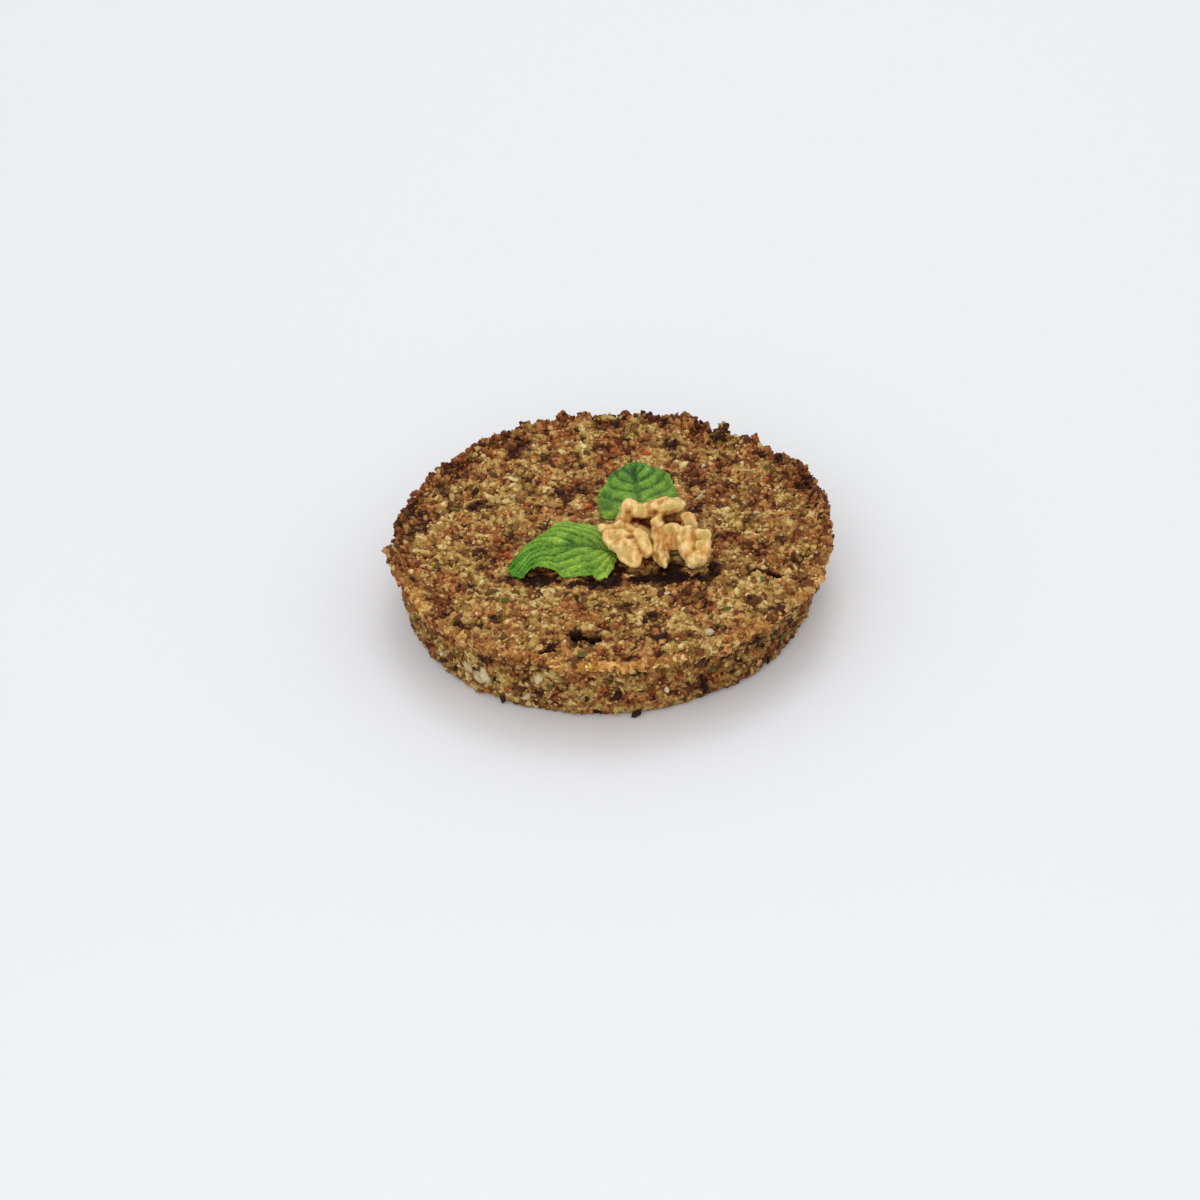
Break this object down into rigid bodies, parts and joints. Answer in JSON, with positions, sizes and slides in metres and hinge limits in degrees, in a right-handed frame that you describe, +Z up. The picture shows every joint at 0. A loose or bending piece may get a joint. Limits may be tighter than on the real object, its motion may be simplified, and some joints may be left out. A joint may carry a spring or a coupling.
{
  "type": "baked kibbeh",
  "caption": "Round individual baked kibbeh, turned out of a shallow tin, with a ragged crisp rim and a garnish of mint leaves and a walnut half.",
  "frame": {"origin": "middle of the flat base that the kibbeh rests on, straight below the middle of its round top", "axes": "+Z up out of the garnished top, -Y towards the viewer in front, +X to the viewer's right, the side the walnut half lies on"},
  "size_m": [0.116, 0.1139, 0.0266],
  "materials": {
    "kibbeh": "coarse baked crumb of bulgur and minced meat, no gloss",
    "mint": "fresh leaf, puckered between its veins, slight sheen",
    "walnut": "pale thin-skinned kernel, slightly oily"
  },
  "bodies": {
    "root": {"kibbeh_cake": "kibbeh", "mint_leaf_left": "mint", "mint_leaf_back": "mint", "walnut_half": "walnut"}
  },
  "joints": []
}
